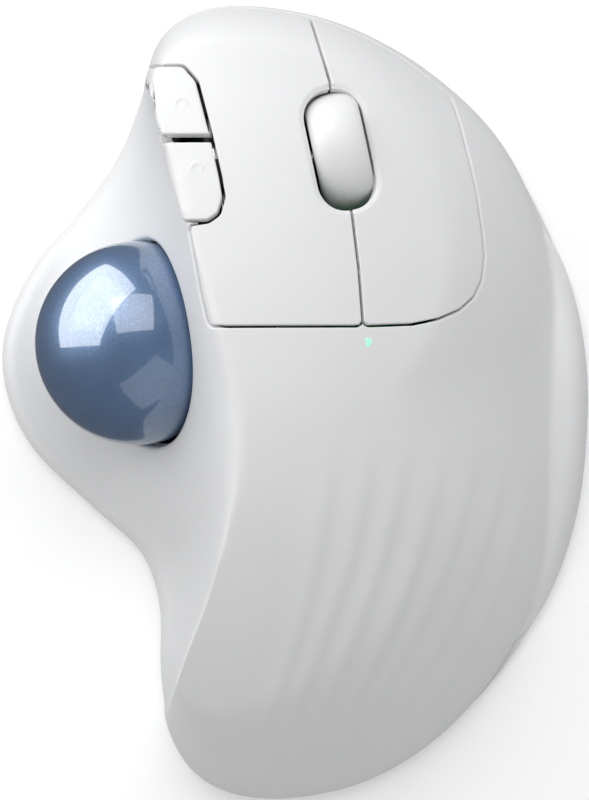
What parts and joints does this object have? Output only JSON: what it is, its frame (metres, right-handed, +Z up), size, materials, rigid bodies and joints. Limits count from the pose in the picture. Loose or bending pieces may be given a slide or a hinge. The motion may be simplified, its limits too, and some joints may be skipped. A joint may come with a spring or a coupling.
{
  "type": "trackball mouse",
  "caption": "Right-handed thumb-operated trackball mouse: hollowed thumb side holding a glossy blue ball, ridged palm hump, two main buttons with a clickable scroll wheel and two thumb buttons.",
  "frame": {"origin": "centre of the bounding box's underside, on the plane of the feet", "axes": "+Y to the front (button end), +X to the little-finger side, +Z up"},
  "size_m": [0.099, 0.134, 0.0483],
  "materials": {
    "shell": "fine matte, off-white",
    "base": "matte light grey",
    "keys": "fine matte, off-white",
    "side_keys": "fine matte, off-white",
    "ball": "polished pearl slate blue with a fine fleck",
    "cup": "matte black",
    "bead": "polished",
    "frame": "matte dark grey",
    "steel": "plain",
    "tyre": "smooth",
    "hub": "satin",
    "board": "solder mask",
    "chip": "matte",
    "switch": "matte",
    "lens": "clear",
    "ribbon": "flexible film",
    "led": "diffuse green",
    "pipe": "clear with a green tint",
    "cell": "printed sleeve without text",
    "foot": "low-friction pad"
  },
  "bodies": {
    "case": {"base_plate": "base", "top_shell": "shell", "key_frame": "frame", "key_pins": "steel", "side_frame": "frame", "side_pin": "steel", "side_switch_board": "board", "side_switches": "switch", "wheel_stand": "frame", "ball_cup": "cup", "ball_beads": "bead", "sensor_lens": "lens", "optical_sensor": "chip", "sensor_board": "board", "sensor_ribbon": "ribbon", "cup_screws": "steel", "sensor_screws": "steel", "main_board": "board", "board_chips": "chip", "left_switch": "switch", "right_switch": "switch", "middle_switch": "switch", "status_led": "led", "light_pipe": "pipe", "power_board": "board", "slide_switch": "steel", "connect_switch": "switch", "battery_cell": "cell", "battery_spring": "steel", "battery_plate": "steel", "usb_receiver": "hub", "feet": "foot", "case_screws": "steel", "board_screws": "steel", "frame_screws": "steel"},
    "left_key": {"left_button": "keys", "left_arm": "frame"},
    "right_key": {"right_button": "keys", "right_arm": "frame"},
    "forward_key": {"forward_button": "side_keys", "forward_hinge": "frame"},
    "back_key": {"back_button": "side_keys", "back_hinge": "frame"},
    "carrier": {"wheel_carrier": "frame", "wheel_encoder": "switch"},
    "wheel": {"wheel_tyre": "tyre", "wheel_hub": "hub", "wheel_axle": "steel"},
    "ball": {"trackball": "ball"},
    "door": {"battery_door": "base"},
    "power_knob": {"power_slider": "hub"},
    "connect_key": {"connect_button": "hub"}
  },
  "joints": [
    {"name": "left_button_press", "type": "hinge", "parent": "case", "child": "left_key", "pos_m": [-0.006, 0.007, 0.04007], "axis": [1, 0, 0], "range_deg": [-1, 0], "stiffness_Nm_per_rad": 0.8, "springref_deg": 0.86},
    {"name": "right_button_press", "type": "hinge", "parent": "case", "child": "right_key", "pos_m": [0.022, 0.007, 0.02776], "axis": [1, 0, 0], "range_deg": [-1, 0], "stiffness_Nm_per_rad": 0.8, "springref_deg": 0.86},
    {"name": "forward_button_press", "type": "hinge", "parent": "case", "child": "forward_key", "pos_m": [-0.0143, 0.0495, 0.02915], "axis": [-0.1523, 0.9, -0.4085], "range_deg": [-4, 0], "stiffness_Nm_per_rad": 0.03, "springref_deg": 5.73},
    {"name": "back_button_press", "type": "hinge", "parent": "case", "child": "back_key", "pos_m": [-0.01219, 0.03702, 0.03481], "axis": [-0.1523, 0.9, -0.4085], "range_deg": [-4, 0], "stiffness_Nm_per_rad": 0.03, "springref_deg": 5.73},
    {"name": "wheel_click", "type": "hinge", "parent": "case", "child": "carrier", "pos_m": [0.01113, 0.02497, 0.02518], "axis": [0.9781, 0.2079, 0], "range_deg": [-1.1, 0], "stiffness_Nm_per_rad": 0.5, "springref_deg": 1.15},
    {"name": "wheel_spin", "type": "hinge", "parent": "carrier", "child": "wheel", "pos_m": [0.0076, 0.0416, 0.03218], "axis": [0.9781, 0.2079, 0], "continuous": true},
    {"name": "ball_spin", "type": "hinge", "parent": "case", "child": "ball", "pos_m": [-0.0264, 0.01, 0.0227], "axis": [0.5878, 0, 0.809], "continuous": true},
    {"name": "battery_door_slide", "type": "slide", "parent": "case", "child": "door", "axis": [0, -1, 0], "range_m": [0, 0.012]},
    {"name": "power_switch_slide", "type": "slide", "parent": "case", "child": "power_knob", "axis": [0, 1, 0], "range_m": [0, 0.004]},
    {"name": "connect_button_press", "type": "slide", "parent": "case", "child": "connect_key", "axis": [0, 0, 1], "range_m": [0, 0.0005], "stiffness_N_per_m": 300, "springref_m": -0.001}
  ]
}
